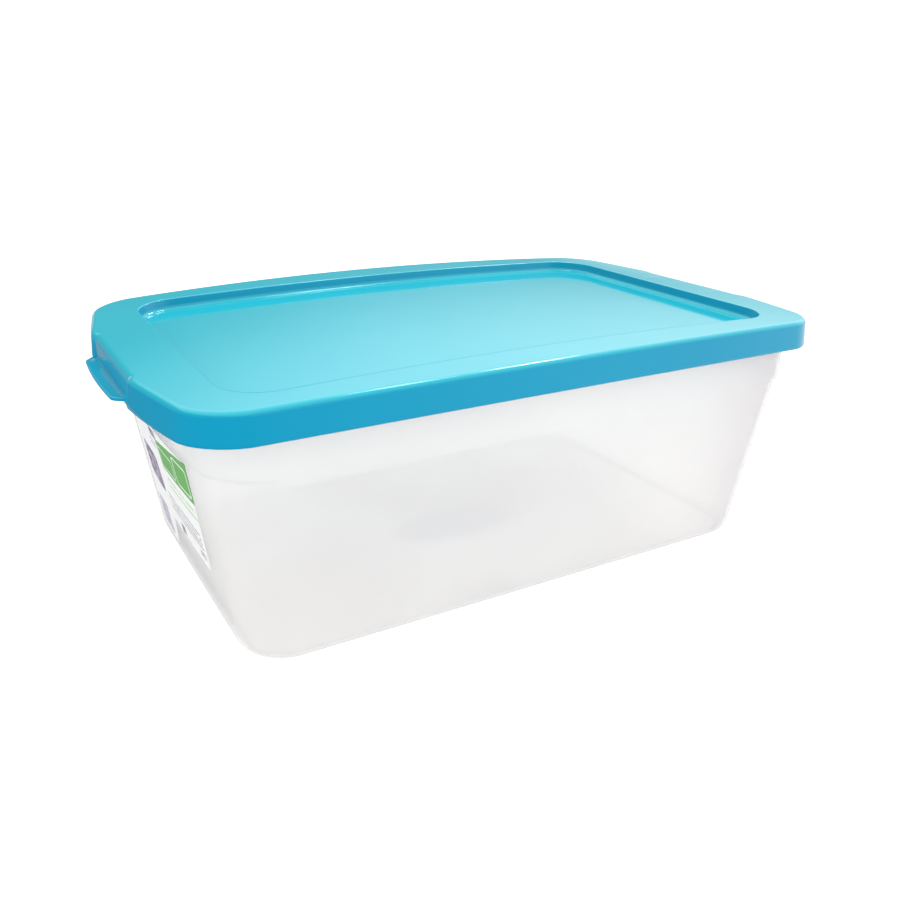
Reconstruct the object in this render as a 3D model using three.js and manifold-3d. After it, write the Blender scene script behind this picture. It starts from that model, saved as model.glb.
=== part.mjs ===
// Snap-lid storage box: a clear tub, a lift-off lid with a pull tab at each end, and a label on one end wall.
// Millimetres, +Z up. The origin is the centre of the underside, +X runs along the box, and +Y across it.
// The label is on the -X end wall.

import * as THREE from "three";
import { mergeVertices } from "three/addons/utils/BufferGeometryUtils.js";
import Module from "manifold-3d";

// ---------- driving dimensions ----------

// The lid and the tub's rim rise towards the middle of the box, as thin mouldings do.
const CROWN = 3.9; // rise of the middle over the ends
const CROWN_HALF_LENGTH = 160; // where the rise reaches zero
const CROWN_START_Z = 84; // below this height the tub isn't crowned
const CROWN_FULL_Z = 110; // above this height everything is crowned in full

const LID = {
  halfLength: 170, // at the middle of an end
  halfWidth: 106.8, // at the middle of a side
  endBow: 13.4, // how far the middle of an end stands out from its corners
  sideBow: 8,
  cornerRadius: 19,
  topZ: 119.7, // rim top before the crown
  skirtHeight: 13.3,
  skirtFlare: 0.9, // the skirt's foot stands out from its top
  edgeRadius: 2.2, // outer top edge
  wall: 1.7,
  rimThickness: 2.4,
  innerBevel: 2, // between the rim's underside and the skirt
  recessHalfLength: 141.5,
  recessHalfWidth: 84.6,
  recessRadius: 21,
  recessDepth: 5.4,
  recessEdgeBevel: 0.7, // at the recess's top edge
  recessFoot: 2.4, // round between the recess's wall and the panel
  recessDraft: 0.5, // how far that wall leans in
};

// The grip pocket in the skirt at each end.
const POCKET = {
  backX: 168.7, // the foot of its flat back wall
  draft: 0.7, // how far that wall leans in up to where it rounds over
  wall: 1.5, // its thickness
  floorHalfWidth: 33.5, // half the width of that wall
  mouthHalfWidth: 36, // where its side walls meet the skirt
  swell: 0.8, // how far the skirt swells out beside the mouth
  swellEndY: 64, // where the swelling has faded out
  swellFullZ: 110, // below this height it fades out towards the skirt's foot
};

// The pull tab is a thin shelf across the pocket, with a small raised lip along its outer edge.
const TAB = {
  overhang: 5, // how far its outer edge stands out from the skirt
  straightHalfWidth: 28, // the overhang is full to here
  halfWidth: 34, // and has faded out here
  rootX: 167.8, // inside the wall behind the pocket
  underZ: 108.9,
  thickness: 1.1,
  lipWidth: 1.1,
  lipHeight: 1.5, // from the tab's underside
  cornerPower: 1.8, // how square the ends of the overhang are
};

const TUB = {
  wall: 1.4,
  floor: 1.5,
  baseRadius: 6, // round between the walls and the underside
  base: { halfLength: 140.1, halfWidth: 83.6, cornerRadius: 22, endBow: 0, sideBow: 0 },
  stepZ: 88, // foot of the stacking step
  stepHeight: 2.5,
  stepOut: 1.5,
  stepEndX: 118, // the step fades along each side between these two distances from the middle
  stepFullX: 140,
  underStep: { halfLength: 155.4, halfWidth: 98.6, cornerRadius: 23.5, endBow: 5.7, sideBow: 5.4 },
  top: { halfLength: 157.1, halfWidth: 99.7, cornerRadius: 24, endBow: 6.7, sideBow: 6.3 },
  rim: { halfLength: 163.6, halfWidth: 104.4, cornerRadius: 17, endBow: 9.4, sideBow: 7.9 },
  rimFootZ: 112.5, // lower edge of the rolled rim
  rimUnderZ: 115.2,
  rimTopZ: 117,
  rimBevel: 1.6, // on the rim's outer top edge
  rimInnerBevel: 0.3,
};

// The L-shaped label, as distances across the end wall and heights on it.
const LABEL = {
  farY: 53,
  stepY: 12.5, // the column on the far side of this line reaches further down
  nearY: -53.5, // at the top
  nearLean: 0.113, // inward slope of the near edge, following the tub's taper
  columnLean: 0.65, // slope of the column's near edge
  topZ: 85.5,
  stepBottomZ: 31.5,
  columnBottomZ: 10,
  gap: 0.2, // glue line
  thickness: 0.25,
};

// ---------- how finely curves are divided ----------

const CORNER_STEPS = 6;
const SIDE_STEPS = 10;
const TAB_STRAIGHT_STEPS = 5;
const TAB_END_STEPS = 5;
const HALF_END_STATIONS = [0, 16, POCKET.floorHalfWidth, POCKET.mouthHalfWidth, 50];
const LABEL_COLUMNS = [LABEL.nearY, -36, -20, -3, LABEL.stepY, 27, 40, LABEL.farY];
const LABEL_ROWS = [LABEL.columnBottomZ, LABEL.stepBottomZ, 48, 66, LABEL.topZ];

// ---------- shared shape functions ----------

const crownAt = (x) => CROWN * (1 - (x / CROWN_HALF_LENGTH) ** 2);
const crownShare = (z) => THREE.MathUtils.smoothstep(z, CROWN_START_Z, CROWN_FULL_Z);
const lift = (x, z) => z + crownAt(x) * crownShare(z);

const mix = (a, b, t) => a + (b - a) * t;

// Every size of one outline, moved inwards by a distance.
function inset(plan, distance) {
  return {
    ...plan,
    halfLength: plan.halfLength - distance,
    halfWidth: plan.halfWidth - distance,
    cornerRadius: Math.max(plan.cornerRadius - distance, 2),
  };
}

function blend(planA, planB, t) {
  const keys = ["halfLength", "halfWidth", "cornerRadius", "endBow", "sideBow"];
  return Object.fromEntries(keys.map((key) => [key, mix(planA[key], planB[key], t)]));
}

// Bows a flat-sided outline outwards: ends along X, sides along Y.
function bowed(x, y, plan) {
  const cornerX = plan.halfLength - plan.endBow;
  const cornerY = plan.halfWidth - plan.sideBow;
  return new THREE.Vector2(
    x * (1 + (plan.endBow / cornerX) * (1 - (y / cornerY) ** 2)),
    y * (1 + (plan.sideBow / cornerY) * (1 - (x / cornerX) ** 2)),
  );
}

// A rounded rectangle with bowed sides, anticlockwise from the middle of the +X end.
// Point i and point (count - i) mirror each other across the X axis.
function outline(plan) {
  const cornerX = plan.halfLength - plan.endBow;
  const cornerY = plan.halfWidth - plan.sideBow;
  const radius = plan.cornerRadius;
  const centreX = cornerX - radius;
  const centreY = cornerY - radius;
  const quarter = HALF_END_STATIONS.map((y) => new THREE.Vector2(cornerX, y));
  const corner = new THREE.Path().absarc(centreX, centreY, radius, 0, Math.PI / 2, false);
  quarter.push(...corner.getPoints(CORNER_STEPS * 2).filter((_, i) => i % 2 === 0));
  for (let i = 1; i <= SIDE_STEPS / 2; i += 1) {
    quarter.push(new THREE.Vector2(centreX * (1 - (2 * i) / SIDE_STEPS), cornerY));
  }
  const last = quarter.length - 1;
  const half = [...quarter];
  for (let i = last - 1; i >= 0; i -= 1) {
    half.push(new THREE.Vector2(-quarter[i].x, quarter[i].y));
  }
  const ring = [...half];
  for (let i = half.length - 2; i >= 1; i -= 1) {
    ring.push(new THREE.Vector2(half[i].x, -half[i].y));
  }
  return ring.map((p) => bowed(p.x, p.y, plan));
}

// One closed body from a stack of rings with equal counts. The first and the last ring are
// closed by strips that run straight across the box, so a crowned sheet stays smooth.
function loft(rings) {
  const count = rings[0].length;
  const positions = rings.flat().flatMap((p) => [p.x, p.y, p.z]);
  const index = [];
  for (let row = 0; row < rings.length - 1; row += 1) {
    for (let i = 0; i < count; i += 1) {
      const a = row * count + i;
      const b = row * count + ((i + 1) % count);
      index.push(a, b, b + count, a, b + count, a + count);
    }
  }
  const closeAcross = (row, up) => {
    const at = (i) => row * count + (i % count);
    for (let i = 0; i < count / 2; i += 1) {
      const [a, b, c, d] = [at(i), at(i + 1), at(count - i - 1), at(count - i)];
      const faces = [];
      if (b !== c) faces.push([a, b, c]);
      if (a !== d) faces.push([a, c, d]);
      faces.forEach(([p, q, r]) => index.push(...(up ? [p, q, r] : [p, r, q])));
    }
  };
  closeAcross(0, false);
  closeAcross(rings.length - 1, true);
  const geometry = new THREE.BufferGeometry();
  geometry.setAttribute("position", new THREE.Float32BufferAttribute(positions, 3));
  geometry.setIndex(index);
  return geometry;
}

const raised = (points, z) => points.map((p) => new THREE.Vector3(p.x, p.y, lift(p.x, z)));

// ---------- tub ----------

// The stacking step is full across the ends and round the corners, and fades along the sides.
const stepShare = (x) => THREE.MathUtils.smoothstep(Math.abs(x), TUB.stepEndX, TUB.stepFullX);

// The wall's outline at a height, moved inwards by a distance.
function wallOutline(z, distance) {
  const { base, underStep, top, stepZ, stepHeight, stepOut, rimUnderZ } = TUB;
  const lower = blend(base, underStep, z / stepZ);
  if (z <= stepZ) return outline(inset(lower, distance));
  const overStep = blend(underStep, top, (z - stepZ) / (rimUnderZ - stepZ));
  const plain = outline(inset(overStep, distance));
  const out = outline(inset(overStep, distance - stepOut));
  const rise = Math.min((z - stepZ) / stepHeight, 1);
  return plain.map((p, i) => p.clone().lerp(out[i], rise * stepShare(p.x)));
}

// Rings round the fillet between the walls and a floor, from the floor up.
function filletRings(floorZ, radius, distance) {
  return [90, 60, 30, 0].map((degrees) => {
    const angle = THREE.MathUtils.degToRad(degrees);
    const z = floorZ + radius * (1 - Math.sin(angle));
    return raised(wallOutline(z, distance + radius * (1 - Math.cos(angle))), z);
  });
}

function tubGeometry() {
  const { wall, rim, rimFootZ, rimUnderZ, rimTopZ, rimBevel, rimInnerBevel, stepZ, stepHeight } = TUB;
  const wallRing = (z, distance) => raised(wallOutline(z, distance), z);
  const rimRing = (z, distance) => raised(outline(inset(rim, distance)), z);
  return loft([
    ...filletRings(0, TUB.baseRadius, 0),
    wallRing(stepZ / 2, 0),
    wallRing(stepZ, 0),
    wallRing(stepZ + stepHeight, 0),
    wallRing(rimUnderZ, 0),
    rimRing(rimUnderZ, wall),
    rimRing(rimFootZ, wall),
    rimRing(rimFootZ, 0),
    rimRing(rimTopZ - rimBevel, 0),
    rimRing(rimTopZ, rimBevel),
    wallRing(rimTopZ, wall - rimInnerBevel),
    wallRing(rimTopZ - rimInnerBevel, wall),
    wallRing(stepZ + stepHeight, wall),
    wallRing(stepZ, wall),
    ...filletRings(TUB.floor, TUB.baseRadius - wall, wall).reverse(),
  ]);
}

// ---------- lid ----------

const inPocket = (p) => Math.abs(p.y) < (POCKET.floorHalfWidth + POCKET.mouthHalfWidth) / 2;

// How far the skirt swells out, beside a pocket.
function swellAt(y, z) {
  const across = THREE.MathUtils.smoothstep(Math.abs(y), POCKET.mouthHalfWidth, POCKET.swellEndY);
  const up = THREE.MathUtils.smoothstep(z, LID.topZ - LID.skirtHeight, POCKET.swellFullZ);
  return POCKET.swell * (1 - across) * up;
}

// A ring of the lid's outer rim. In the pocket at each end it lies at its own distance behind the
// foot of the pocket's back wall.
function lidRing(distance, z, pocketDistance) {
  return outline(inset(LID, distance)).map((p) => {
    if (Math.abs(p.x) < LID.recessHalfLength) {
      return new THREE.Vector3(p.x, p.y, lift(p.x, z));
    }
    if (!inPocket(p)) {
      const out = Math.sign(p.x) * swellAt(p.y, z);
      return new THREE.Vector3(p.x + out, p.y, lift(p.x, z));
    }
    const x = Math.sign(p.x) * (POCKET.backX - pocketDistance);
    return new THREE.Vector3(x, p.y, lift(x, z));
  });
}

function recessRing(distance, z) {
  const plan = {
    halfLength: LID.recessHalfLength,
    halfWidth: LID.recessHalfWidth,
    cornerRadius: LID.recessRadius,
    endBow: 0,
    sideBow: 0,
  };
  return raised(outline(inset(plan, distance)), z);
}

function lidShellGeometry() {
  const { topZ, skirtHeight, skirtFlare, edgeRadius, wall, rimThickness, innerBevel } = LID;
  const { recessDepth, recessEdgeBevel, recessFoot, recessDraft } = LID;
  const cornerCut = 1 - Math.SQRT1_2; // from a square corner to the middle of its round, over the radius
  const edgeMiddle = edgeRadius * cornerCut;
  const footMiddle = recessFoot * cornerCut;
  const footZ = topZ - skirtHeight;
  const panelZ = topZ - recessDepth;
  const rimUnderZ = topZ - rimThickness;
  const pocketTop = POCKET.draft;
  const pocketInner = POCKET.wall;
  return loft([
    recessRing(recessDraft + footMiddle, panelZ - wall), // underside of the panel
    recessRing(-wall * Math.SQRT1_2, panelZ - wall + recessFoot),
    recessRing(-wall, rimUnderZ),
    lidRing(wall + innerBevel, rimUnderZ, pocketInner + pocketTop + innerBevel), // underside of the rim
    lidRing(wall, rimUnderZ - innerBevel, pocketInner + pocketTop),
    lidRing(wall - skirtFlare, footZ, pocketInner),
    lidRing(-skirtFlare, footZ, 0), // foot of the skirt
    lidRing(0, topZ - edgeRadius, pocketTop),
    lidRing(edgeMiddle, topZ - edgeMiddle, pocketTop + edgeMiddle),
    lidRing(edgeRadius, topZ, pocketTop + edgeRadius),
    recessRing(-recessEdgeBevel, topZ), // top edge of the recess
    recessRing(0, topZ - recessEdgeBevel),
    recessRing(recessDraft, panelZ + recessFoot),
    recessRing(recessDraft + footMiddle, panelZ + footMiddle),
    recessRing(recessDraft + recessFoot, panelZ), // the panel
  ]);
}

// The pull tab's outer edge, moved inwards by a distance, from its -Y end to its +Y end. It follows
// the skirt, and its overhang fades out towards both ends.
function tabEdge(distance) {
  const { overhang, straightHalfWidth, halfWidth, cornerPower } = TAB;
  const fade = halfWidth - straightHalfWidth;
  const half = [];
  for (let i = 0; i <= TAB_STRAIGHT_STEPS + TAB_END_STEPS; i += 1) {
    const y =
      i <= TAB_STRAIGHT_STEPS
        ? (straightHalfWidth * i) / TAB_STRAIGHT_STEPS
        : straightHalfWidth + (fade * (i - TAB_STRAIGHT_STEPS)) / TAB_END_STEPS;
    const skirt = bowed(LID.halfLength - LID.endBow, y, LID);
    const share = 1 - Math.max((y - straightHalfWidth) / fade, 0) ** cornerPower;
    half.push(new THREE.Vector2(skirt.x + overhang * share - distance, y));
  }
  const mirrored = half.slice(1).map((p) => new THREE.Vector2(p.x, -p.y));
  return [...mirrored.reverse(), ...half];
}

function tabSlab(points, height) {
  const shape = new THREE.Shape(points);
  const geometry = new THREE.ExtrudeGeometry(shape, { depth: height, bevelEnabled: false });
  return geometry.translate(0, 0, lift(POCKET.backX, TAB.underZ));
}

// The two solids of the pull tab at the +X end: the shelf, and the lip along its outer edge.
function tabGeometries() {
  const edge = tabEdge(0);
  const root = [TAB.halfWidth, -TAB.halfWidth].map((y) => new THREE.Vector2(TAB.rootX, y));
  const lipBack = tabEdge(TAB.lipWidth).reverse();
  return [tabSlab([...edge, ...root], TAB.thickness), tabSlab([...edge, ...lipBack], TAB.lipHeight)];
}

// ---------- joining solids ----------

const wasm = await Module();
wasm.setup();

function solidFrom(geometry) {
  const bare = geometry.clone();
  bare.deleteAttribute("normal");
  bare.deleteAttribute("uv");
  const merged = mergeVertices(bare, 1e-3);
  return new wasm.Manifold(
    new wasm.Mesh({
      numProp: 3,
      vertProperties: merged.attributes.position.array,
      triVerts: new Uint32Array(merged.index.array),
    }),
  );
}

function geometryFrom(solid) {
  const mesh = solid.getMesh();
  const geometry = new THREE.BufferGeometry();
  geometry.setAttribute("position", new THREE.BufferAttribute(mesh.vertProperties, 3));
  geometry.setIndex(new THREE.BufferAttribute(mesh.triVerts, 1));
  return geometry;
}

function lidGeometry() {
  const nearTab = tabGeometries();
  const farTab = nearTab.map((geometry) => geometry.clone().rotateZ(Math.PI));
  const shell = solidFrom(lidShellGeometry());
  const joined = [...nearTab, ...farTab].reduce((solid, tab) => solid.add(solidFrom(tab)), shell);
  return geometryFrom(joined);
}

// ---------- label ----------

// A point on the -X end wall, at a distance outside it.
function endWallPoint(y, z, out) {
  const plan = inset(blend(TUB.base, TUB.underStep, z / TUB.stepZ), -out);
  const p = bowed(-(plan.halfLength - plan.endBow), y, plan);
  return [p.x, p.y, z];
}

// How far across the end wall a column of the label's grid is at a height.
function labelY(column, z) {
  const { nearY, stepY, farY, nearLean, columnLean, topZ, stepBottomZ } = LABEL;
  if (column < stepY) {
    return column + nearLean * (topZ - z) * ((stepY - column) / (stepY - nearY));
  }
  const below = Math.max(stepBottomZ - z, 0);
  return column + columnLean * below * ((farY - column) / (farY - stepY));
}

function labelGeometry() {
  const { stepY, stepBottomZ, gap, thickness } = LABEL;
  const columns = LABEL_COLUMNS;
  const rows = LABEL_ROWS;
  const inLabel = (i, j) => {
    const inside = i >= 0 && j >= 0 && i < columns.length - 1 && j < rows.length - 1;
    return inside && (columns[i] >= stepY || rows[j] >= stepBottomZ);
  };
  const at = (i, j, layer) =>
    endWallPoint(labelY(columns[i], rows[j]), rows[j], gap + layer * thickness);
  const positions = [];
  const quad = (a, b, c, d) => positions.push(...a, ...b, ...c, ...a, ...c, ...d);
  for (let i = 0; i < columns.length - 1; i += 1) {
    for (let j = 0; j < rows.length - 1; j += 1) {
      if (!inLabel(i, j)) continue;
      quad(at(i, j, 1), at(i, j + 1, 1), at(i + 1, j + 1, 1), at(i + 1, j, 1));
      quad(at(i, j, 0), at(i + 1, j, 0), at(i + 1, j + 1, 0), at(i, j + 1, 0));
      const edges = [
        [i, j, i + 1, j, !inLabel(i, j - 1)],
        [i + 1, j, i + 1, j + 1, !inLabel(i + 1, j)],
        [i + 1, j + 1, i, j + 1, !inLabel(i, j + 1)],
        [i, j + 1, i, j, !inLabel(i - 1, j)],
      ];
      edges
        .filter((edge) => edge[4])
        .forEach(([i0, j0, i1, j1]) =>
          quad(at(i0, j0, 0), at(i0, j0, 1), at(i1, j1, 1), at(i1, j1, 0)),
        );
    }
  }
  const geometry = new THREE.BufferGeometry();
  geometry.setAttribute("position", new THREE.Float32BufferAttribute(positions, 3));
  return mergeVertices(geometry, 1e-3);
}

// ---------- the box ----------

function part(name, geometry, finish) {
  geometry.computeVertexNormals();
  const mesh = new THREE.Mesh(geometry, new THREE.MeshStandardMaterial(finish));
  mesh.name = name;
  return mesh;
}

const tub = part("tub", tubGeometry(), {
  color: 0xeef0f2,
  roughness: 0.25,
  metalness: 0,
  transparent: true,
  opacity: 0.4,
});
const lid = part("lid", lidGeometry(), { color: 0x35b4d4, roughness: 0.3, metalness: 0 });
const label = part("label", labelGeometry(), { color: 0xf4f5f4, roughness: 0.5, metalness: 0 });

const group = new THREE.Group();
group.add(tub, lid, label);
export default group;
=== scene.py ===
"""Looks for the snap lid storage box: a clear milky tub, an aqua lid with two pull tabs, and a label."""

import math
from typing import NamedTuple

import bpy
import numpy as np
from mathutils import Matrix, Vector


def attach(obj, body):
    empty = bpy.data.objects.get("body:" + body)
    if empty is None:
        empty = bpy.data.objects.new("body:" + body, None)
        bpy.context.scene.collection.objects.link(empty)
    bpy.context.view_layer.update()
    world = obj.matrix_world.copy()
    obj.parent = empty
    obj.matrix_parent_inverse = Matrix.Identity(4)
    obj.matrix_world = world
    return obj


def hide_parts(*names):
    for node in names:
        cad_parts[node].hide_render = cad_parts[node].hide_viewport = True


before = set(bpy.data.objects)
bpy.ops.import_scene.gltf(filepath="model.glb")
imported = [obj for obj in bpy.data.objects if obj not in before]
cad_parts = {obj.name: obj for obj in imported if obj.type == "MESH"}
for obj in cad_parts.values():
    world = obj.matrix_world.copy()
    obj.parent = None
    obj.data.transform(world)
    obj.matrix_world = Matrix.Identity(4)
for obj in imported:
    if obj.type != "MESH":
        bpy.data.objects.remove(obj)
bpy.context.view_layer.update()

# ---------- dimensions, in millimetres ----------

MM = 0.001

CROWN = 3.9  # rise of the lid's and the rim's middle over their ends
CROWN_HALF_LENGTH = 160
CROWN_START_Z = 84
CROWN_FULL_Z = 110
LEAST_CORNER_RADIUS = 1.5  # of a plan that is inset by more than its own radius


class Plan(NamedTuple):
    """A rounded rectangle whose ends and sides are bowed outwards."""

    half_length: float
    half_width: float
    radius: float
    end_bow: float
    side_bow: float


LID = Plan(170, 106.8, 19, 13.4, 8)
LID_TOP_Z = 119.7
SKIRT_HEIGHT = 13.3
SKIRT_FLARE = 0.9
LID_EDGE_RADIUS = 2.2
LID_WALL = 1.7
LID_RIM_THICKNESS = 2.4
LID_INNER_BEVEL = 2
RECESS = Plan(141.5, 84.6, 21, 0, 0)
RECESS_DEPTH = 5.4
RECESS_EDGE_RADIUS = 0.5
RECESS_FOOT_RADIUS = 2.6
RECESS_DRAFT = 0.5
FLAT_MARGIN = 0.8  # between an edge's round and the ring that keeps the face beside it flat

POCKET_BACK_X = 168.7  # the foot of the flat wall behind the tab
POCKET_DRAFT = 0.7
POCKET_WALL = 1.5
POCKET_FLOOR_HALF_WIDTH = 33.7
POCKET_MOUTH_HALF_WIDTH = 35.8
POCKET_TOP_HALF_WIDTH = 41  # the mouth opens out where the pocket's wall rounds over
POCKET_EDGE_RADIUS = 3.4
POCKET_SWELL = 0.8  # how far the skirt swells out beside the pocket's mouth
POCKET_SWELL_END_Y = 64
POCKET_SWELL_FULL_Z = 110
TAB_OVERHANG = 5
TAB_STRAIGHT_HALF_WIDTH = 28
TAB_HALF_WIDTH = 34
TAB_CORNER_POWER = 1.8  # 2 would round the tab's corners off like a circle's
TAB_LEAST_REACH = 0.05
TAB_UNDER_Z = 108.9
TAB_THICKNESS = 1.1
TAB_LIP_WIDTH = 1.1
TAB_LIP_HEIGHT = 1.5

TUB_BASE = Plan(140.1, 83.6, 22, 0, 0)
TUB_UNDER_STEP = Plan(155.4, 98.6, 23.5, 5.7, 5.4)
TUB_TOP = Plan(157.1, 99.7, 24, 6.7, 6.3)
TUB_RIM = Plan(163.6, 104.4, 17, 9.4, 7.9)
TUB_WALL = 1.4
TUB_FLOOR = 1.5
TUB_BASE_RADIUS = 6
TUB_LOWER_WALL_Z = 20  # the first ring of the plain wall over the foot's round
STEP_Z = 88
STEP_HEIGHT = 2.5
STEP_OUT = 1.5
STEP_END_X = 118
STEP_FULL_X = 140
RIM_FOOT_Z = 112.5
RIM_UNDER_Z = 115.2
RIM_TOP_Z = 117
RIM_BEVEL = 1.6
RIM_INNER_BEVEL = 0.3

LABEL_COLUMNS = (-53.5, 12.5, 53)  # near edge, step, far edge across the end wall
LABEL_ROWS = (10, 31.5, 85.5)  # foot of the column, foot of the rest, top
LABEL_NEAR_LEAN = 0.113
LABEL_COLUMN_LEAN = 0.65
LABEL_GAP = 0.06
LABEL_THICKNESS = 0.16


# ---------- shape functions ----------


def metres(lengths):
    return [length * MM for length in lengths]


def smoothstep(value, low, high):
    share = np.clip((np.asarray(value, float) - low) / (high - low), 0, 1)
    return share * share * (3 - 2 * share)


def lift(x, z):
    """The height of a point once the crown is added, which fades in over the tub's upper wall."""
    crown = CROWN * (1 - (np.asarray(x, float) / CROWN_HALF_LENGTH) ** 2)
    return z + crown * smoothstep(z, CROWN_START_Z, CROWN_FULL_Z)


def inset(plan, distance):
    return plan._replace(
        half_length=plan.half_length - distance,
        half_width=plan.half_width - distance,
        radius=max(plan.radius - distance, LEAST_CORNER_RADIUS),
    )


def blend(plan_a, plan_b, share):
    return Plan(*(a + (b - a) * share for a, b in zip(plan_a, plan_b)))


def bowed(x, y, plan):
    """Points of a plan's straight-sided core, moved outwards by the bows of its ends and sides."""
    corner_x = plan.half_length - plan.end_bow
    corner_y = plan.half_width - plan.side_bow
    return np.stack(
        [
            x * (1 + plan.end_bow / corner_x * (1 - (y / corner_y) ** 2)),
            y * (1 + plan.side_bow / corner_y * (1 - (x / corner_x) ** 2)),
        ],
        axis=-1,
    )


# Stations across half an end, closer together at the pocket's side walls and the tab's corners.
POCKET_STATIONS = np.concatenate(
    [
        np.linspace(0, TAB_STRAIGHT_HALF_WIDTH, 10)[:-1],
        np.linspace(TAB_STRAIGHT_HALF_WIDTH, POCKET_FLOOR_HALF_WIDTH, 13)[:-1],
        np.linspace(POCKET_FLOOR_HALF_WIDTH, POCKET_MOUTH_HALF_WIDTH, 7)[:-1],
        np.linspace(POCKET_MOUTH_HALF_WIDTH, POCKET_TOP_HALF_WIDTH, 6),
    ]
)
PLAIN_STATIONS = np.linspace(0, 36, 7)
END_STEPS = 5  # from the last station to the corner
CORNER_STEPS = 18
SIDE_STEPS = 24  # from the corner to the middle of a side


def outline(plan, stations=PLAIN_STATIONS):
    """Points of a plan, anticlockwise from the +X end's middle. Point i mirrors point (count - i)."""
    corner_x = plan.half_length - plan.end_bow
    corner_y = plan.half_width - plan.side_bow
    centre_x = corner_x - plan.radius
    centre_y = corner_y - plan.radius
    across = np.concatenate([stations, np.linspace(stations[-1], centre_y, END_STEPS + 1)[1:]])
    end = np.stack([np.full(len(across), corner_x), across], axis=1)
    angle = np.linspace(0, math.pi / 2, CORNER_STEPS + 1)[1:]
    corner = np.stack(
        [centre_x + plan.radius * np.cos(angle), centre_y + plan.radius * np.sin(angle)], axis=1
    )
    along = np.linspace(centre_x, 0, SIDE_STEPS + 1)[1:]
    side = np.stack([along, np.full(len(along), corner_y)], axis=1)
    quarter = np.concatenate([end, corner, side])
    half = np.concatenate([quarter, quarter[-2::-1] * (-1, 1)])
    ring = np.concatenate([half, half[-2:0:-1] * (1, -1)])
    return bowed(ring[:, 0], ring[:, 1], plan)


def raised(points, z):
    return np.column_stack([points, lift(points[:, 0], z)])


def mesh_object(name, vertices, faces, sharp_angle=50):
    mesh = bpy.data.meshes.new(name)
    mesh.from_pydata((np.asarray(vertices) * MM).tolist(), [], faces)
    mesh.validate()
    mesh.shade_smooth()
    made = bpy.data.objects.new(name, mesh)
    bpy.context.scene.collection.objects.link(made)
    mesh.set_sharp_from_angle(angle=math.radians(sharp_angle))
    return made


def loft(name, rings, sharp_angle=50):
    """A closed body from rings with equal counts, shut at both ends by strips straight across."""
    count = len(rings[0])
    faces = []
    for row in range(len(rings) - 1):
        for i in range(count):
            a = row * count + i
            b = row * count + (i + 1) % count
            faces.append((a, b, b + count, a + count))
    for row, upward in ((0, False), (len(rings) - 1, True)):
        for i in range(count // 2):
            loop = [row * count + j % count for j in (i, i + 1, count - i - 1, count - i)]
            loop = list(dict.fromkeys(loop))
            faces.append(tuple(loop if upward else loop[::-1]))
    return mesh_object(name, np.concatenate(rings), faces, sharp_angle)


def arc(start, end, steps):
    """Angles in radians from start to end, which are in degrees."""
    return np.radians(np.linspace(start, end, steps + 1))


# ---------- tub ----------


def wall_outline(z, distance):
    """The wall's outline at a height, inset by a distance, with the step round both ends over STEP_Z."""
    if z <= STEP_Z:
        return outline(inset(blend(TUB_BASE, TUB_UNDER_STEP, z / STEP_Z), distance))
    plan = blend(TUB_UNDER_STEP, TUB_TOP, (z - STEP_Z) / (RIM_UNDER_Z - STEP_Z))
    plain = outline(inset(plan, distance))
    out = outline(inset(plan, distance - STEP_OUT))
    rise = smoothstep(z, STEP_Z, STEP_Z + STEP_HEIGHT)
    share = smoothstep(np.abs(plain[:, 0]), STEP_END_X, STEP_FULL_X) * rise
    return plain + (out - plain) * share[:, None]


def wall_ring(z, distance):
    return raised(wall_outline(z, distance), z)


def fillet_rings(floor_z, radius, distance):
    """Rings of the round between the walls and a floor, from the floor up."""
    return [
        wall_ring(floor_z + radius * (1 - math.sin(a)), distance + radius * (1 - math.cos(a)))
        for a in arc(90, 0, 8)
    ]


def rim_ring(z, distance):
    return raised(outline(inset(TUB_RIM, distance)), z)


def make_tub():
    heights = [
        *np.linspace(TUB_LOWER_WALL_Z, STEP_Z, 6),
        *np.linspace(STEP_Z, STEP_Z + STEP_HEIGHT, 7)[1:],
        *np.linspace(STEP_Z + STEP_HEIGHT, RIM_UNDER_Z, 5)[1:],
    ]
    outside = fillet_rings(0, TUB_BASE_RADIUS, 0) + [wall_ring(z, 0) for z in heights]
    rim = [
        rim_ring(RIM_UNDER_Z, TUB_WALL),
        rim_ring(RIM_FOOT_Z, TUB_WALL),
        rim_ring(RIM_FOOT_Z, 0),
        rim_ring(RIM_TOP_Z - RIM_BEVEL, 0),
        rim_ring(RIM_TOP_Z - 0.5 * RIM_BEVEL, 0.35 * RIM_BEVEL),
        rim_ring(RIM_TOP_Z, RIM_BEVEL),
        wall_ring(RIM_TOP_Z, TUB_WALL - RIM_INNER_BEVEL),
        wall_ring(RIM_TOP_Z - RIM_INNER_BEVEL, TUB_WALL),
    ]
    inside = [wall_ring(z, TUB_WALL) for z in heights[-2::-1]]
    inside += fillet_rings(TUB_FLOOR, TUB_BASE_RADIUS - TUB_WALL, TUB_WALL)[::-1]
    return loft("tub_clear_shell", outside + rim + inside, sharp_angle=40)


# ---------- lid ----------


def recess_ring(distance, z):
    return raised(outline(inset(RECESS, distance), POCKET_STATIONS), z)


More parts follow.
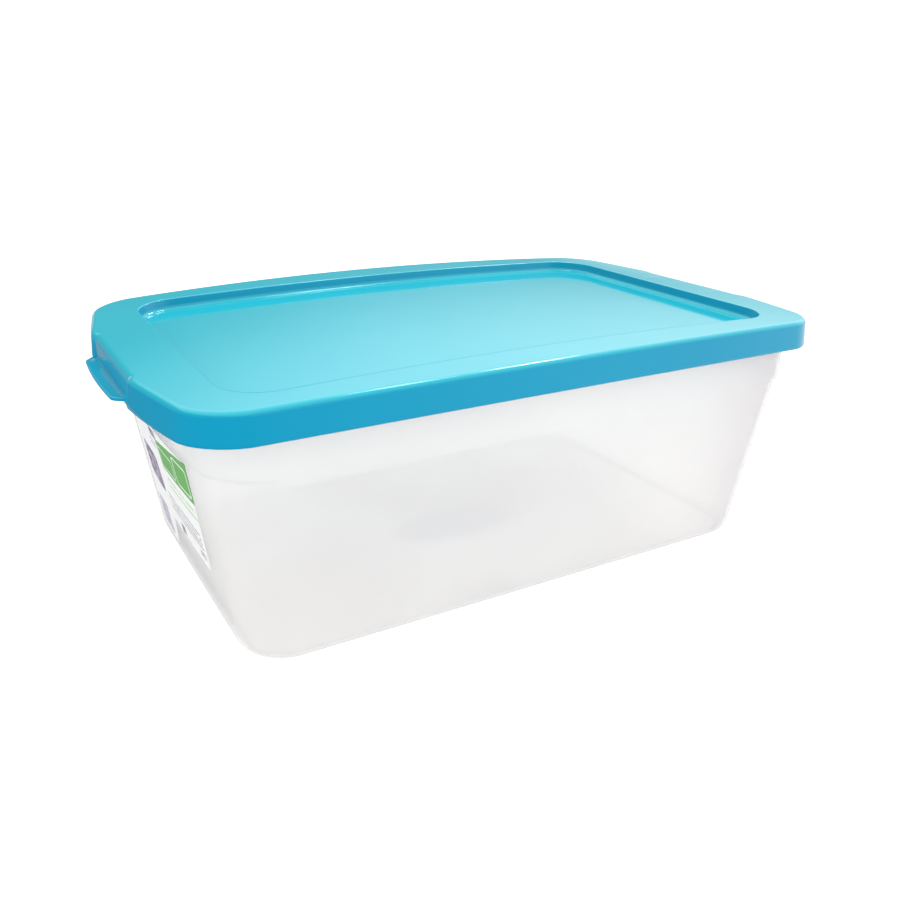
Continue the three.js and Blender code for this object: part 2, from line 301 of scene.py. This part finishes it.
def lid_ring(distance, z, pocket_x, pocket_z):
    """A ring of the lid's rim. Across the pocket at each end it runs at pocket_x and pocket_z instead.
    pocket_x is a number, or a function of the distance from the middle of the end."""
    points = outline(inset(LID, distance), POCKET_STATIONS)
    off_centre = np.abs(points[:, 1])
    at_end = np.abs(points[:, 0]) > RECESS.half_length
    widen = smoothstep(z, LID_TOP_Z - 2 * POCKET_EDGE_RADIUS, LID_TOP_Z)
    mouth = POCKET_MOUTH_HALF_WIDTH + (POCKET_TOP_HALF_WIDTH - POCKET_MOUTH_HALF_WIDTH) * widen
    share = 1 - smoothstep(off_centre, POCKET_FLOOR_HALF_WIDTH, mouth)
    share = np.where(at_end, share, 0)
    side = np.sign(points[:, 0])
    reach = pocket_x(off_centre) if callable(pocket_x) else np.full(len(points), pocket_x)
    swell = POCKET_SWELL * smoothstep(z, LID_TOP_Z - SKIRT_HEIGHT, POCKET_SWELL_FULL_Z)
    swell *= 1 - smoothstep(off_centre, POCKET_MOUTH_HALF_WIDTH, POCKET_SWELL_END_Y)
    skirt_x = points[:, 0] + side * np.where(at_end, swell, 0)
    x = skirt_x * (1 - share) + side * reach * share
    height = z * (1 - share) + pocket_z * share
    return np.column_stack([x, points[:, 1], lift(x, height)])


def tab_reach(off_centre, back=0.0):
    """How far out the pull tab's edge is, moved back by a distance but never behind the pocket's wall."""
    corner_x = LID.half_length - LID.end_bow
    corner_y = LID.half_width - LID.side_bow
    skirt = corner_x * (1 + LID.end_bow / corner_x * (1 - (off_centre / corner_y) ** 2))
    corner_width = TAB_HALF_WIDTH - TAB_STRAIGHT_HALF_WIDTH
    share = np.clip((off_centre - TAB_STRAIGHT_HALF_WIDTH) / corner_width, 0, 1)
    edge = skirt + TAB_OVERHANG * (1 - share**TAB_CORNER_POWER)
    return np.maximum(edge - back, POCKET_BACK_X + TAB_LEAST_REACH)


def make_lid():
    top = LID_TOP_Z
    panel = top - RECESS_DEPTH
    foot = top - SKIRT_HEIGHT
    under = TAB_UNDER_Z
    shelf = under + TAB_THICKNESS
    lip = under + TAB_LIP_HEIGHT
    radius = LID_EDGE_RADIUS
    wall_top = top - POCKET_EDGE_RADIUS
    rim_under = top - LID_RIM_THICKNESS
    back_top = POCKET_BACK_X - POCKET_DRAFT
    pocket_inner = back_top - POCKET_WALL
    bevel = LID_INNER_BEVEL
    cut = 0.3 * bevel

    def edge_at(distance):
        """The tab's edge moved back by a distance, as a function of the distance off the middle."""
        return lambda off_centre: tab_reach(off_centre, distance)

    def back_at(z):
        return POCKET_BACK_X - POCKET_DRAFT * (z - foot) / (wall_top - foot)

    def on_skirt(z):
        return (-SKIRT_FLARE * (top - radius - z) / (top - radius - foot), z)

    recess_wall = [
        (-RECESS_EDGE_RADIUS * (1 - math.sin(a)), top - RECESS_EDGE_RADIUS * (1 - math.cos(a)))
        for a in arc(0, 80, 5)
    ]
    recess_foot = [
        (
            RECESS_DRAFT + RECESS_FOOT_RADIUS * (1 - math.cos(a)),
            panel + RECESS_FOOT_RADIUS * (1 - math.sin(a)),
        )
        for a in arc(10, 90, 6)
    ]
    # From the panel's underside out to the rim's, and down the inside of the skirt to its foot.
    underneath = [
        recess_ring(RECESS_DRAFT + 1.0, panel - LID_WALL),
        recess_ring(-1.1, panel + 0.9),
        recess_ring(-1.5, rim_under),
        lid_ring(LID_WALL + bevel, rim_under, pocket_inner - bevel, rim_under),
        lid_ring(LID_WALL + cut, rim_under - cut, pocket_inner - cut, rim_under - cut),
        lid_ring(LID_WALL, rim_under - bevel, pocket_inner, rim_under - bevel),
        lid_ring(LID_WALL - SKIRT_FLARE + 0.1, foot + 0.3, back_at(foot) - POCKET_WALL, foot + 0.3),
        lid_ring(LID_WALL - SKIRT_FLARE - 0.3, foot, back_at(foot) - POCKET_WALL + 0.3, foot),
        lid_ring(-SKIRT_FLARE + 0.3, foot, back_at(foot) - 0.3, foot),
    ]
    # Up the outside of the skirt, and at the same time over the tab and into the pocket.
    tab = [
        lid_ring(*on_skirt(z), reach, pocket_z)
        for z, reach, pocket_z in (
            (foot + 0.3, back_at(foot), foot + 0.3),
            (under - 0.9, back_at(under), under - 0.4),
            (under - 0.6, back_at(under) + 0.3, under),
            (under - 0.3, edge_at(0.4), under),
            (under - 0.05, edge_at(0.1), under + 0.12),
            (under + 0.2, edge_at(0), under + 0.4),
            (under + 0.5, edge_at(0), lip - 0.4),
            (under + 0.8, edge_at(0.1), lip - 0.12),
            (under + 1.0, edge_at(0.35), lip),
            (under + 1.2, edge_at(TAB_LIP_WIDTH - 0.35), lip),
            (under + 1.4, edge_at(TAB_LIP_WIDTH - 0.05), lip - 0.1),
            (under + 1.6, edge_at(TAB_LIP_WIDTH + 0.5), shelf),
            (under + 1.8, back_at(shelf) + 0.6, shelf),
            (under + 2.0, back_at(shelf) + 0.12, shelf + 0.15),
            (under + 2.2, back_at(shelf), shelf + 0.6),
        )
    ]
    rounds = [(1 - math.cos(a), 1 - math.sin(a)) for a in arc(0, 90, 9)]
    outer_edge = [
        lid_ring(
            radius * inwards,
            top - radius * down,
            back_top - POCKET_EDGE_RADIUS * inwards,
            top - POCKET_EDGE_RADIUS * down,
        )
        for inwards, down in rounds
    ]
    # Three narrow rings keep the rim's top and the panel flat right up to their edges.
    pocket_margin = back_top - POCKET_EDGE_RADIUS - FLAT_MARGIN
    outer_edge.append(lid_ring(radius + FLAT_MARGIN, top, pocket_margin, top))
    recess_wall.insert(0, (-RECESS_EDGE_RADIUS - FLAT_MARGIN, top))
    recess_foot.append((RECESS_DRAFT + RECESS_FOOT_RADIUS + FLAT_MARGIN, panel))
    rings = underneath + tab + outer_edge
    rings += [recess_ring(distance, z) for distance, z in recess_wall + recess_foot]
    return loft("lid_moulding", rings, sharp_angle=60)


# ---------- label ----------


def end_wall_point(y, z, out):
    """A point of the -X end wall, moved outwards by a distance."""
    plan = inset(blend(TUB_BASE, TUB_UNDER_STEP, z / STEP_Z), -out)
    point = bowed(-(plan.half_length - plan.end_bow), y, plan)
    return (point[0], point[1], z)


def label_y(column, z):
    """How far across the end wall a column of the label's grid is at a height."""
    near, step, far = LABEL_COLUMNS
    _, foot, top = LABEL_ROWS
    if column < step:
        return column + LABEL_NEAR_LEAN * (top - z) * (step - column) / (step - near)
    return column + LABEL_COLUMN_LEAN * max(foot - z, 0) * (far - column) / (far - step)


def make_label():
    """A thin L: the rows over the step reach right across, and those below it only the far column."""
    near, step, far = LABEL_COLUMNS
    column_foot, foot, top = LABEL_ROWS
    columns = [*np.linspace(near, step, 18), *np.linspace(step, far, 11)[1:]]
    rows = [*np.linspace(column_foot, foot, 6), *np.linspace(foot, top, 14)[1:]]
    inside = {
        (i, j)
        for i in range(len(columns) - 1)
        for j in range(len(rows) - 1)
        if columns[i] >= step - 1e-6 or rows[j] >= foot - 1e-6
    }
    vertices, index, faces = [], {}, []

    def corner(i, j, layer):
        if (i, j, layer) not in index:
            index[i, j, layer] = len(vertices)
            out = LABEL_GAP + layer * LABEL_THICKNESS
            vertices.append(end_wall_point(label_y(columns[i], rows[j]), rows[j], out))
        return index[i, j, layer]

    for i, j in sorted(inside):
        loop = [(i, j), (i, j + 1), (i + 1, j + 1), (i + 1, j)]
        faces.append([corner(*c, 1) for c in loop])
        faces.append([corner(*c, 0) for c in loop[::-1]])
        beyond = [(i - 1, j), (i, j + 1), (i + 1, j), (i, j - 1)]
        for k, neighbour in enumerate(beyond):
            if neighbour not in inside:
                a, b = loop[k], loop[(k + 1) % 4]
                faces.append([corner(*b, 1), corner(*a, 1), corner(*a, 0), corner(*b, 0)])
    return mesh_object("label_sticker", vertices, faces, sharp_angle=30)


# ---------- materials ----------


class Graph:
    """Builds one node tree. Sockets are passed where a number could be."""

    def __init__(self, name):
        self.material = bpy.data.materials.new(name)
        self.material.use_nodes = True
        self.tree = self.material.node_tree
        self.tree.nodes.clear()

    @classmethod
    def on_tree(cls, tree):
        made = cls.__new__(cls)
        made.tree = tree
        tree.nodes.clear()
        return made

    def node(self, kind, inputs=None, **settings):
        made = self.tree.nodes.new(kind)
        for key, value in settings.items():
            setattr(made, key, value)
        for key, value in (inputs or {}).items():
            if isinstance(value, bpy.types.NodeSocket):
                self.tree.links.new(value, made.inputs[key])
            else:
                made.inputs[key].default_value = value
        return made

    def math(self, operation, a, b=0.0):
        return self.node("ShaderNodeMath", {0: a, 1: b}, operation=operation).outputs[0]

    def mix(self, share, a, b):
        made = self.node("ShaderNodeMix", {0: share, 6: a, 7: b}, data_type="RGBA")
        return made.outputs[2]

    def mix_value(self, share, a, b):
        return self.node("ShaderNodeMix", {0: share, 2: a, 3: b}, data_type="FLOAT").outputs[0]

    def ramp(self, value, low, high):
        """0 below low, 1 above high, smooth in between."""
        inputs = {0: value, 1: low, 2: high, 3: 0.0, 4: 1.0}
        return self.node("ShaderNodeMapRange", inputs, interpolation_type="SMOOTHSTEP").outputs[0]

    def noise(self, vector, scale, detail=3.0, roughness=0.5):
        inputs = {"Vector": vector, "Scale": scale, "Detail": detail, "Roughness": roughness}
        return self.node("ShaderNodeTexNoise", inputs).outputs["Fac"]

    def stretched_noise(self, vector, scales, detail, roughness):
        mapped = self.node("ShaderNodeMapping", {"Vector": vector, "Scale": scales}).outputs[0]
        return self.noise(mapped, 1.0, detail, roughness)

    def split(self, vector):
        return self.node("ShaderNodeSeparateXYZ", {0: vector}).outputs[:3]

    def inverse(self, share):
        return self.math("SUBTRACT", 1.0, share)

    def within(self, value, limit):
        """1 where a value is less than a limit away from zero."""
        return self.math("LESS_THAN", self.math("ABSOLUTE", value), limit)

    def bump(self, height, distance, strength=1.0, normal=None):
        inputs = {"Height": height, "Distance": distance, "Strength": strength}
        if normal is not None:
            inputs["Normal"] = normal
        return self.node("ShaderNodeBump", inputs).outputs["Normal"]

    def output(self, shader):
        self.node("ShaderNodeOutputMaterial", {"Surface": shader})
        return self.material


def colour(red, green, blue):
    return (red, green, blue, 1.0)


# A pair of colours, roughnesses or shares runs from one end of a noise to the other, unless its
# comment says otherwise. Heights and places are in millimetres, as above.

# The lid's two aquas are painted shade and painted light. The upright one is darker and bluer, the level
# one lighter and greener, and the tabs' shelves keep some of the darker one.
AQUA_UPRIGHT_SHADED = (colour(0.003, 0.240, 0.405), colour(0.006, 0.265, 0.430))
AQUA_LEVEL_LIT = (colour(0.009, 0.315, 0.395), colour(0.013, 0.345, 0.425))
AQUA_GLOSS = colour(0.60, 0.92, 1.0)
TAB_LIT_SHARE = 0.4  # how far the level faces of the tabs take on the level colour
OVER_TAB_Z = (111.5, 113.5)
PANEL_HALF_SIZE = (140.5, 84.0)
RIM_ROUGHNESS = (0.07, 0.11)
PANEL_ROUGHNESS = (0.09, 0.13)
SINK_LINE_Y = 22.5
SINK_LINE_HALF_WIDTH = 1.6
SINK_LINE_START_X = (143, 150)

MILK = (colour(0.915, 0.893, 0.880), colour(0.945, 0.928, 0.915))
MILK_ROUGHNESS = (0.30, 0.36)
MILK_SHARE = (0.31, 0.34)  # of milk over clear, looking straight through
MILK_SHARE_EDGE_ON = 0.14  # what looking along the wall adds to it
GLOW = colour(0.955, 0.940, 0.930)
GLOW_SHARE = 0.35
# The floor's darker patches, its darker outline and the darker oval are painted shade.
FLOOR_PATCH_SHADE = (colour(0.945, 0.918, 0.915), colour(0.998, 0.985, 0.978))
FLOOR_OUTLINE_SHADE = colour(0.82, 0.81, 0.81)
# The wall tint greys and turns bluish towards the lid, and the corner tint darkens the near +X corner:
# both are painted shade.
WALL_SHADE_TINT = (colour(0.992, 0.984, 0.976), colour(0.940, 0.944, 0.946))  # low, high
WALL_SHADE_Z = (30, 110)
CORNER_SHADE_TINT = colour(0.890, 0.872, 0.880)
CORNER_SHADE_X = (80, 145)
CORNER_SHADE_Y = (-85, 0)
EDGE_ON_TINT = colour(0.58, 0.59, 0.61)
EDGE_ON = (0.68, 0.95)  # Layer Weight's facing, over which that tint comes in
FLOOR_LOW_Z = 4
FLOOR_LEVEL = (0.88, 0.94)  # the normal's upright part, from the foot's round to the floor
FLOOR_FLAT = (0.985, 0.999)  # the same, from the floor's outline to its flat middle
OVAL_CENTRE = (3, -4)
OVAL_HALF_SIZE = (37, 17)
OVAL_SHADE = colour(0.872, 0.855, 0.880)

PAPER = (colour(0.80, 0.81, 0.82), colour(0.87, 0.87, 0.87))
GREEN = (colour(0.125, 0.400, 0.095), colour(0.160, 0.450, 0.120))
PALE_GREEN = (colour(0.36, 0.60, 0.30), colour(0.48, 0.68, 0.42))
GREY = (colour(0.24, 0.22, 0.26), colour(0.36, 0.33, 0.38))
# The edge grey is painted shade along the label's far edge and foot.
EDGE_SHADE_GREY = (colour(0.50, 0.50, 0.53), colour(0.58, 0.58, 0.61))
INK = (colour(0.10, 0.05, 0.13), colour(0.15, 0.09, 0.19))
PICTURE = (colour(0.115, 0.070, 0.170), colour(0.50, 0.46, 0.56))
LAVENDER = (colour(0.38, 0.34, 0.44), colour(0.62, 0.60, 0.68))
GREEN_TOP_Z = 85.9  # at the label's near edge
GREEN_TOP_SLOPE = 0.12


def lid_plastic():
    g = Graph("lid_aqua_plastic")
    place = g.node("ShaderNodeTexCoord")
    at = place.outputs["Object"]
    x, y, z = g.split(at)
    # Painted light and shade: faces that look up take the lighter, greener aqua, and upright faces take
    # the darker, bluer one. Low down, the tabs' level faces keep part of the darker colour as painted
    # shade.
    upward = g.ramp(g.split(place.outputs["Normal"])[2], 0.0, 0.95)
    cloud = g.noise(at, 14.0, 2.0)
    lit_share = g.mix_value(g.ramp(z, *metres(OVER_TAB_Z)), TAB_LIT_SHARE, 1.0)
    level = g.math("MULTIPLY", upward, lit_share)
    base = g.mix(level, g.mix(cloud, *AQUA_UPRIGHT_SHADED), g.mix(cloud, *AQUA_LEVEL_LIT))
    # The panel inside the recess is a little less polished than the rim.
    panel_x, panel_y = metres(PANEL_HALF_SIZE)
    in_panel = g.math("MULTIPLY", g.within(x, panel_x), g.within(y, panel_y))
    smudge = g.ramp(g.noise(at, 9.0, 4.0, 0.6), 0.30, 0.80)
    rough = g.mix_value(
        in_panel,
        g.mix_value(smudge, *RIM_ROUGHNESS),
        g.mix_value(smudge, *PANEL_ROUGHNESS),
    )
    # Fine orange peel, slow waviness, and two shallow sink lines across each end of the rim.
    peel = g.bump(g.noise(at, 900.0, 2.0), 0.00002, 0.25)
    wave = g.bump(g.noise(at, 26.0, 1.0), 0.0006, 0.06, peel)
    off_line = g.math("ABSOLUTE", g.math("SUBTRACT", g.math("ABSOLUTE", y), SINK_LINE_Y * MM))
    on_end = g.ramp(g.math("ABSOLUTE", x), *metres(SINK_LINE_START_X))
    line = g.math("MULTIPLY", g.inverse(g.ramp(off_line, 0.0, SINK_LINE_HALF_WIDTH * MM)), on_end)
    normal = g.bump(line, 0.00006, 0.2, wave)
    shader = g.node(
        "ShaderNodeBsdfPrincipled",
        {
            "Base Color": base,
            "Roughness": rough,
            "IOR": 1.5,
            "Specular Tint": AQUA_GLOSS,
            "Normal": normal,
        },
    )
    return g.output(shader.outputs[0])


def clear_plastic():
    g = Graph("tub_clear_polypropylene")
    place = g.node("ShaderNodeTexCoord")
    at = place.outputs["Object"]
    x, y, z = g.split(at)
    haze = g.noise(at, 18.0, 3.0, 0.55)
    streak = g.stretched_noise(at, (60.0, 60.0, 6.0), 3.0, 0.6)
    normal = g.bump(haze, 0.0005, 0.10, g.bump(streak, 0.0002, 0.12))
    milk = g.node(
        "ShaderNodeBsdfPrincipled",
        {
            "Base Color": g.mix(haze, *MILK),
            "Roughness": g.mix_value(haze, *MILK_ROUGHNESS),
            "Normal": normal,
            "IOR": 1.49,
        },
    )
    glow = g.node("ShaderNodeBsdfTranslucent", {"Color": GLOW, "Normal": normal})
    body = g.node("ShaderNodeMixShader", {0: GLOW_SHARE, 1: milk.outputs[0], 2: glow.outputs[0]})

    # The walls are greyer and bluer towards the rim, painted shade and painted blue light from the lid,
    # and greyer at the near +X corner, painted shade.
    tint = g.mix(g.ramp(z, *metres(WALL_SHADE_Z)), *WALL_SHADE_TINT)
    to_end = g.ramp(x, *metres(CORNER_SHADE_X))
    to_side = g.inverse(g.ramp(y, *metres(CORNER_SHADE_Y)))
    tint = g.mix(g.math("MULTIPLY", to_end, to_side), tint, CORNER_SHADE_TINT)

    # The floor gets patches of painted shade, a darker outline of painted shade, and a darker oval of
    # painted shade.
    low = g.math("LESS_THAN", z, FLOOR_LOW_Z * MM)
    level = g.math("ABSOLUTE", g.split(place.outputs["Normal"])[2])
    in_floor = g.math("MULTIPLY", g.ramp(level, *FLOOR_LEVEL), low)
    shade_patch = g.ramp(g.noise(at, 11.0, 1.0), 0.35, 0.65)
    tint = g.mix(in_floor, tint, g.mix(shade_patch, *FLOOR_PATCH_SHADE))
    in_outline = g.math("MULTIPLY", in_floor, g.inverse(g.ramp(level, *FLOOR_FLAT)))
    tint = g.mix(in_outline, tint, FLOOR_OUTLINE_SHADE)
    oval = g.math(
        "ADD",
        *(
            g.math("POWER", g.math("DIVIDE", g.math("SUBTRACT", value, centre), half), 2.0)
            for value, centre, half in zip((x, y), metres(OVAL_CENTRE), metres(OVAL_HALF_SIZE))
        ),
    )
    in_oval = g.math("MULTIPLY", g.inverse(g.ramp(oval, 0.94, 1.03)), low)
    tint = g.mix(in_oval, tint, OVAL_SHADE)

    # Looking along the plastic, more of it is in the way.
    edge_on = g.node("ShaderNodeLayerWeight", {"Blend": 0.35, "Normal": normal}).outputs["Facing"]
    tint = g.mix(g.ramp(edge_on, *EDGE_ON), tint, EDGE_ON_TINT)
    clear = g.node("ShaderNodeBsdfTransparent", {"Color": tint})
    more = g.math("MULTIPLY", edge_on, MILK_SHARE_EDGE_ON)
    share = g.math("ADD", g.mix_value(haze, *MILK_SHARE), more)
    shader = g.node("ShaderNodeMixShader", {0: share, 1: clear.outputs[0], 2: body.outputs[0]})
    return g.output(shader.outputs[0])


def label_film():
    """Plain blocks, frames, broken bars and blotchy fields stand in for print and pictures; a grey band
    along the far edge and the foot is painted shade.
    """
    g = Graph("label_printed_film")
    at = g.node("ShaderNodeTexCoord").outputs["Object"]
    _, y, z = g.split(at)
    across = g.math("MULTIPLY", y, 1 / MM)
    height = g.math("MULTIPLY", z, 1 / MM)

    def cell(y0, y1, z0, z1, radius=0.6):
        """1 inside a rounded rectangle, which is given in millimetres."""
        over = []
        for value, low, high in ((across, y0, y1), (height, z0, z1)):
            from_middle = g.math("ABSOLUTE", g.math("SUBTRACT", value, (low + high) / 2))
            beyond = g.math("SUBTRACT", from_middle, (high - low) / 2 - radius)
            over.append(g.math("POWER", g.math("MAXIMUM", beyond, 0.0), 2.0))
        reach = g.math("SQRT", g.math("ADD", *over))
        return g.inverse(g.ramp(reach, radius - 0.15, radius + 0.15))

    def rows(y0, y1, z0, z1, count, fill, seed):
        """Broken bars in rows, standing in for print. fill is the inked share of each row's height."""
        pitch = (z1 - z0) / count
        row = g.math("DIVIDE", g.math("SUBTRACT", height, z0), pitch)
        in_row = g.within(g.math("SUBTRACT", g.math("FRACT", row), 0.5), fill / 2)
        along = g.math("MULTIPLY", across, 1.1)
        apart = g.math("MULTIPLY", g.math("FLOOR", row), 7.3)
        step = g.node("ShaderNodeCombineXYZ", {0: along, 1: apart, 2: seed}).outputs[0]
        broken = g.ramp(g.noise(step, 1.0, 1.0), 0.42, 0.45)
        return g.math("MULTIPLY", g.math("MULTIPLY", in_row, broken), cell(y0, y1, z0, z1, 0.1))

    print_wear = g.noise(at, 520.0, 2.0)
    green, pale_green, grey, edge_shade_grey, ink = (
        g.mix(print_wear, *pair) for pair in (GREEN, PALE_GREEN, GREY, EDGE_SHADE_GREY, INK)
    )
    streaks = g.stretched_noise(at, (200.0, 120.0, 420.0), 4.0, 0.65)
    picture = g.mix(g.ramp(streaks, 0.36, 0.62), *PICTURE)
    lavender = g.mix(g.ramp(streaks, 0.35, 0.65), *LAVENDER)
    paper = g.mix(g.noise(at, 240.0, 3.0), *PAPER)

    # The green block's top edge slopes down towards the label's middle.
    from_edge = g.math("SUBTRACT", across, LABEL_COLUMNS[0])
    sloped = g.math("ADD", height, g.math("MULTIPLY", from_edge, GREEN_TOP_SLOPE))
    under_slope = g.math("LESS_THAN", sloped, GREEN_TOP_Z)
    green_block = g.math("MULTIPLY", cell(-60, -5, 66, 90, 1.5), under_slope)
    # A grey band along the label's far edge and its foot is painted shade.
    shaded_edge_band = g.inverse(cell(-70, 51.6, 11, 90, 0.3))
    base = paper
    # Later rows of this list are painted over earlier ones.
    for mask, paint in (
        (shaded_edge_band, edge_shade_grey),
        (green_block, green),
        (cell(-50.5, -31, 68, 81.5, 2.2), paper),
        (cell(-49.7, -31.8, 68.8, 80.7, 1.8), green),
        (cell(-28, -6.5, 67.5, 77.5, 1.8), paper),
        (cell(-27.4, -7.1, 68.1, 76.9, 1.4), green),
        (rows(-50, -8, 56, 63.5, 2, 0.45, 1.0), pale_green),
        (rows(-45, 6, 40, 50, 4, 0.45, 5.0), grey),
        (cell(-12, -5, 32.5, 37.5, 0.4), grey),
        (rows(-45, -37.5, 35.5, 38.5, 2, 0.7, 9.0), ink),
        (cell(12, 42, 45, 65, 3.5), picture),
        (cell(29, 49, 14, 31, 0.8), lavender),
        (cell(-7, 4.5, 79.5, 84, 0.5), picture),
        (rows(-3, 9, 73, 77.5, 2, 0.4, 3.0), grey),
    ):
        base = g.mix(mask, base, paint)
    wrinkle = g.bump(g.noise(at, 60.0, 3.0), 0.0004, 0.12)
    shader = g.node(
        "ShaderNodeBsdfPrincipled",
        {
            "Base Color": base,
            "Roughness": g.mix_value(g.noise(at, 80.0, 2.0), 0.34, 0.46),
            "Specular IOR Level": 0.3,
            "Normal": wrinkle,
        },
    )
    return g.output(shader.outputs[0])


def light_table():
    """White acrylic lit from below, so that nothing on it throws a dark shadow."""
    g = Graph("studio_light_table")
    at = g.node("ShaderNodeTexCoord").outputs["Object"]
    tone = g.mix(g.noise(at, 3.0, 2.0), colour(0.245, 0.245, 0.25), colour(0.25, 0.25, 0.25))
    shader = g.node(
        "ShaderNodeBsdfPrincipled",
        {
            "Base Color": tone,
            "Roughness": 0.9,
            "Emission Color": colour(1.0, 1.0, 1.0),
            "Emission Strength": 0.9,
        },
    )
    return g.output(shader.outputs[0])


# ---------- the box ----------

for make, node, body, slot, paint in (
    (make_tub, "tub", "tub_body", "clear_plastic", clear_plastic),
    (make_lid, "lid", "lid_body", "lid_plastic", lid_plastic),
    (make_label, "label", "tub_body", "label_film", label_film),
):
    piece = make()
    piece.data.materials.append(paint())
    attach(piece, body)
    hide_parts(node)

# ---------- floor, light and camera ----------

FLOOR_HALF_SIZE = 6000  # mm
FLOOR_DROP = 0.2  # mm, so that the floor and the tub's underside don't share a plane

# Strengths of the world. A pair runs from the first place named to the second.
WALL_LIGHT = (0.2, 1.55)  # low and towards -X, high or towards +X
CEILING_LIGHT = (1.5, 2.2)  # over the front, over the back
HORIZON_LIGHT = (0.3, 1.15)  # at -X, at +X
BELOW_LIGHT = (0.1, 1.1)  # what glossy surfaces see in place of the table, at -X and at +X
BACKDROP_LIGHT = 1.15  # what the camera sees
WORLD_COLOUR = colour(1.0, 0.998, 0.99)

# Where the parts of the world meet, as ranges of a direction's x, y or z.
WALL_CLIMB = (0.30, 0.50)
WALL_CLIMB_TO_END = 0.33  # how much of x counts as height on the walls
CEILING_DEPTH = (-0.6, 0.1)
WALL_TO_CEILING = (0.45, 0.85)
HORIZON_SIDE = (-0.12, 0.03)
HORIZON_TO_WALL = (0.092, 0.13)
BELOW_SIDE = (-0.3, 0.6)
BELOW_DEPTH_SHARE = 0.2  # how much of y counts as x below the horizon
BELOW_TO_HORIZON = (-0.12, -0.05)

# Name, place, target, size (all in metres), watts, and whether glossy surfaces mirror it.
SOFTBOXES = (
    ("softbox_top", (0.50, 0.48, 1.45), (0, 0, 0.1), (0.20, 0.30), 4, True),
    ("softbox_back", (0.80, 0.68, 1.10), (0, 0, 0.1), (0.14, 0.30), 5, True),
    ("softbox_left", (-1.5, -0.5, 0.6), (0, 0, 0.06), (1.4, 0.9), 10, False),
    ("softbox_front", (0.3, -1.2, 0.5), (0.02, 0, 0.1), (0.8, 0.6), 2.0, False),
)

CAMERA_SENSOR = 36  # mm
CAMERA_FOCAL = 35.6  # mm
CAMERA_SHIFT = (0.0111, -0.0011)
CAMERA_PLACE = (-226.7, -385.1, 225.7)  # mm
CAMERA_AZIMUTH = math.radians(-29.85)
CAMERA_ELEVATION = math.radians(22.14)
CAMERA_ROLL = math.radians(0.765)
CAMERA_CLIP_START = 0.01  # m


def area_light(name, place, target, size, power, mirrored):
    data = bpy.data.lights.new(name, "AREA")
    data.shape = "RECTANGLE"
    data.size, data.size_y = size
    data.energy = power
    made = bpy.data.objects.new(name, data)
    bpy.context.scene.collection.objects.link(made)
    made.location = place
    made.rotation_mode = "QUATERNION"
    made.rotation_quaternion = (Vector(place) - Vector(target)).to_track_quat("Z", "Y")
    made.visible_glossy = mirrored


def make_floor():
    half = FLOOR_HALF_SIZE
    floor = mesh_object(
        "studio_floor",
        [(-half, -half, 0), (half, -half, 0), (half, half, 0), (-half, half, 0)],
        [(0, 1, 2, 3)],
    )
    floor.location.z = -FLOOR_DROP * MM
    floor.data.materials.append(light_table())
    floor.visible_glossy = False


def make_world():
    """A bright ceiling, walls that brighten upwards and towards +X, and a strip at the horizon.
    Glossy surfaces see soft light below the horizon, and the camera sees a plain white backdrop."""
    world = bpy.data.worlds.new("studio_room")
    world.use_nodes = True
    g = Graph.on_tree(world.node_tree)
    x, y, rise = g.split(g.node("ShaderNodeTexCoord").outputs["Generated"])
    climb = g.math("ADD", rise, g.math("MULTIPLY", x, WALL_CLIMB_TO_END))
    wall = g.mix_value(g.ramp(climb, *WALL_CLIMB), *WALL_LIGHT)
    ceiling = g.mix_value(g.ramp(y, *CEILING_DEPTH), *CEILING_LIGHT)
    horizon = g.mix_value(g.ramp(x, *HORIZON_SIDE), *HORIZON_LIGHT)
    sideways = g.math("ADD", x, g.math("MULTIPLY", y, BELOW_DEPTH_SHARE))
    below = g.mix_value(g.ramp(sideways, *BELOW_SIDE), *BELOW_LIGHT)
    strength = g.mix_value(g.ramp(rise, *WALL_TO_CEILING), wall, ceiling)
    strength = g.mix_value(g.ramp(rise, *HORIZON_TO_WALL), horizon, strength)
    strength = g.mix_value(g.ramp(rise, *BELOW_TO_HORIZON), below, strength)
    seen = g.node("ShaderNodeLightPath").outputs["Is Camera Ray"]
    strength = g.mix_value(seen, strength, BACKDROP_LIGHT)
    background = g.node("ShaderNodeBackground", {"Color": WORLD_COLOUR, "Strength": strength})
    g.node("ShaderNodeOutputWorld", {"Surface": background.outputs[0]})
    bpy.context.scene.world = world


def make_camera():
    data = bpy.data.cameras.new("studio_camera")
    data.sensor_width = CAMERA_SENSOR
    data.lens = CAMERA_FOCAL
    data.shift_x, data.shift_y = CAMERA_SHIFT
    data.clip_start = CAMERA_CLIP_START
    camera = bpy.data.objects.new("studio_camera", data)
    bpy.context.scene.collection.objects.link(camera)
    forward = np.array(
        [
            -math.sin(CAMERA_AZIMUTH) * math.cos(CAMERA_ELEVATION),
            math.cos(CAMERA_AZIMUTH) * math.cos(CAMERA_ELEVATION),
            -math.sin(CAMERA_ELEVATION),
        ]
    )
    level = np.array([math.cos(CAMERA_AZIMUTH), math.sin(CAMERA_AZIMUTH), 0])
    upright = np.cross(level, forward)
    cos, sin = math.cos(CAMERA_ROLL), math.sin(CAMERA_ROLL)
    right = cos * level + sin * upright
    up = cos * upright - sin * level
    turn = Matrix(np.stack([right, up, -forward], axis=1).tolist())
    camera.matrix_world = Matrix.Translation(metres(CAMERA_PLACE)) @ turn.to_4x4()
    bpy.context.scene.camera = camera


make_floor()
make_world()
make_camera()
for softbox in SOFTBOXES:
    area_light(*softbox)
bpy.context.scene.view_settings.view_transform = "Standard"
bpy.context.scene.view_settings.look = "None"
